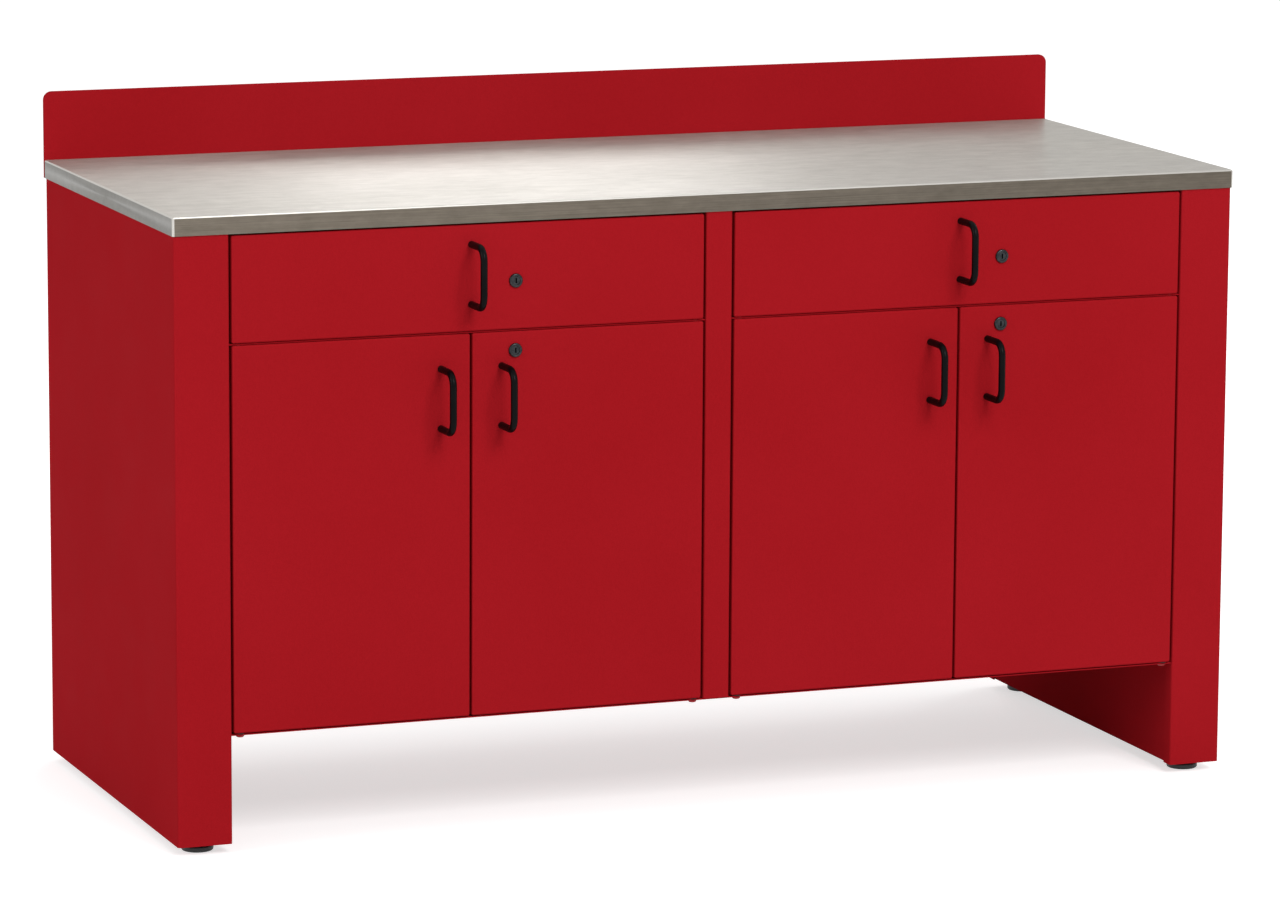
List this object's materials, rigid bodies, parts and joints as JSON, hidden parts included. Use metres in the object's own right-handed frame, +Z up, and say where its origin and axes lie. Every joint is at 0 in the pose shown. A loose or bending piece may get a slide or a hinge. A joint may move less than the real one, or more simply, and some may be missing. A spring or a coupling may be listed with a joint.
{
  "type": "workbench with cabinet doors",
  "caption": "Steel workbench with a stainless worktop and backsplash over cabinet bays, each with a drawer above a pair of hinged doors, wire pulls and cam locks.",
  "frame": {"origin": "on the floor, under the middle of the overall box (worktop width, pulls to backsplash)", "axes": "+X to the right along the bench, +Y from the front to the rear, +Z up"},
  "size_m": [1.524, 0.6748, 0.945],
  "materials": {
    "red_paint": "smooth red powder coat, semi-gloss",
    "stainless": "brushed stainless steel, grain along the bench",
    "core_board": "bare fibreboard",
    "black_wire": "black powder coat, satin",
    "lock_metal": "black chromate on die-cast zinc",
    "cam_steel": "zinc plated steel",
    "slide_zinc": "bright zinc plated steel",
    "rod_steel": "drawn steel rod",
    "foot_black": "moulded black nylon"
  },
  "bodies": {
    "carcass": {"worktop_skin": "stainless", "worktop_core": "core_board", "backsplash": "red_paint", "left_end_shell": "red_paint", "left_end_liner": "red_paint", "right_end_shell": "red_paint", "right_end_liner": "red_paint", "cabinet_floor": "red_paint", "front_top_rail": "red_paint", "drawer_rail": "red_paint", "center_divider": "red_paint", "back_panel": "red_paint", "left_shelf": "red_paint", "right_shelf": "red_paint", "left_drawer_left_slide_outer": "slide_zinc", "left_drawer_right_slide_outer": "slide_zinc", "right_drawer_left_slide_outer": "slide_zinc", "right_drawer_right_slide_outer": "slide_zinc", "left_bay_left_door_hinge_rod": "rod_steel", "left_bay_right_door_hinge_rod": "rod_steel", "right_bay_left_door_hinge_rod": "rod_steel", "right_bay_right_door_hinge_rod": "rod_steel"},
    "left_drawer": {"left_drawer_tray": "red_paint", "left_drawer_front": "red_paint", "left_drawer_pull": "black_wire", "left_drawer_lock_body": "lock_metal", "left_drawer_left_slide_inner": "slide_zinc", "left_drawer_right_slide_inner": "slide_zinc"},
    "left_drawer_middle_slides": {"left_drawer_left_slide_middle": "slide_zinc", "left_drawer_right_slide_middle": "slide_zinc"},
    "right_drawer": {"right_drawer_tray": "red_paint", "right_drawer_front": "red_paint", "right_drawer_pull": "black_wire", "right_drawer_lock_body": "lock_metal", "right_drawer_left_slide_inner": "slide_zinc", "right_drawer_right_slide_inner": "slide_zinc"},
    "right_drawer_middle_slides": {"right_drawer_left_slide_middle": "slide_zinc", "right_drawer_right_slide_middle": "slide_zinc"},
    "left_bay_left_door": {"left_bay_left_door_skin": "red_paint", "left_bay_left_door_liner": "red_paint", "left_bay_left_door_pull": "black_wire"},
    "left_bay_right_door": {"left_bay_right_door_skin": "red_paint", "left_bay_right_door_liner": "red_paint", "left_bay_right_door_pull": "black_wire", "left_bay_right_door_lock_body": "lock_metal"},
    "right_bay_left_door": {"right_bay_left_door_skin": "red_paint", "right_bay_left_door_liner": "red_paint", "right_bay_left_door_pull": "black_wire"},
    "right_bay_right_door": {"right_bay_right_door_skin": "red_paint", "right_bay_right_door_liner": "red_paint", "right_bay_right_door_pull": "black_wire", "right_bay_right_door_lock_body": "lock_metal"},
    "left_drawer_lock_plug": {"left_drawer_lock_plug": "cam_steel"},
    "right_drawer_lock_plug": {"right_drawer_lock_plug": "cam_steel"},
    "left_bay_right_door_lock_plug": {"left_bay_right_door_lock_plug": "cam_steel"},
    "right_bay_right_door_lock_plug": {"right_bay_right_door_lock_plug": "cam_steel"},
    "front_left_foot": {"front_left_foot": "foot_black"},
    "front_right_foot": {"front_right_foot": "foot_black"},
    "rear_left_foot": {"rear_left_foot": "foot_black"},
    "rear_right_foot": {"rear_right_foot": "foot_black"}
  },
  "joints": [
    {"name": "left_drawer_slide", "type": "slide", "parent": "carcass", "child": "left_drawer", "axis": [0, -1, 0], "range_m": [0, 0.48]},
    {"name": "left_drawer_middle_slide", "type": "slide", "parent": "carcass", "child": "left_drawer_middle_slides", "axis": [0, -1, 0], "range_m": [0, 0.24]},
    {"name": "right_drawer_slide", "type": "slide", "parent": "carcass", "child": "right_drawer", "axis": [0, -1, 0], "range_m": [0, 0.48]},
    {"name": "right_drawer_middle_slide", "type": "slide", "parent": "carcass", "child": "right_drawer_middle_slides", "axis": [0, -1, 0], "range_m": [0, 0.24]},
    {"name": "left_bay_left_door_hinge", "type": "hinge", "parent": "carcass", "child": "left_bay_left_door", "pos_m": [-0.672, -0.27563, 0.419], "axis": [0, 0, 1], "range_deg": [-110, 0]},
    {"name": "left_bay_right_door_hinge", "type": "hinge", "parent": "carcass", "child": "left_bay_right_door", "pos_m": [-0.032, -0.27563, 0.419], "axis": [0, 0, 1], "range_deg": [0, 110]},
    {"name": "right_bay_left_door_hinge", "type": "hinge", "parent": "carcass", "child": "right_bay_left_door", "pos_m": [0.032, -0.27563, 0.419], "axis": [0, 0, 1], "range_deg": [-110, 0]},
    {"name": "right_bay_right_door_hinge", "type": "hinge", "parent": "carcass", "child": "right_bay_right_door", "pos_m": [0.672, -0.27563, 0.419], "axis": [0, 0, 1], "range_deg": [0, 110]},
    {"name": "left_drawer_lock_turn", "type": "hinge", "parent": "left_drawer", "child": "left_drawer_lock_plug", "pos_m": [-0.29, -0.28263, 0.7455], "axis": [0, -1, 0], "range_deg": [0, 90]},
    {"name": "right_drawer_lock_turn", "type": "hinge", "parent": "right_drawer", "child": "right_drawer_lock_plug", "pos_m": [0.414, -0.28263, 0.7455], "axis": [0, -1, 0], "range_deg": [0, 90]},
    {"name": "left_bay_right_door_lock_turn", "type": "hinge", "parent": "left_bay_right_door", "child": "left_bay_right_door_lock_plug", "pos_m": [-0.2905, -0.28263, 0.6525], "axis": [0, -1, 0], "range_deg": [0, 90]},
    {"name": "right_bay_right_door_lock_turn", "type": "hinge", "parent": "right_bay_right_door", "child": "right_bay_right_door_lock_plug", "pos_m": [0.4135, -0.28263, 0.6525], "axis": [0, -1, 0], "range_deg": [0, 90]},
    {"name": "front_left_foot_screw", "type": "slide", "parent": "carcass", "child": "front_left_foot", "axis": [0, 0, -1], "range_m": [0, 0.02]},
    {"name": "front_right_foot_screw", "type": "slide", "parent": "carcass", "child": "front_right_foot", "axis": [0, 0, -1], "range_m": [0, 0.02]},
    {"name": "rear_left_foot_screw", "type": "slide", "parent": "carcass", "child": "rear_left_foot", "axis": [0, 0, -1], "range_m": [0, 0.02]},
    {"name": "rear_right_foot_screw", "type": "slide", "parent": "carcass", "child": "rear_right_foot", "axis": [0, 0, -1], "range_m": [0, 0.02]}
  ],
  "couplings": [
    {"joint": "left_drawer_middle_slide", "follows": "left_drawer_slide", "ratio": 0.5},
    {"joint": "right_drawer_middle_slide", "follows": "right_drawer_slide", "ratio": 0.5}
  ]
}
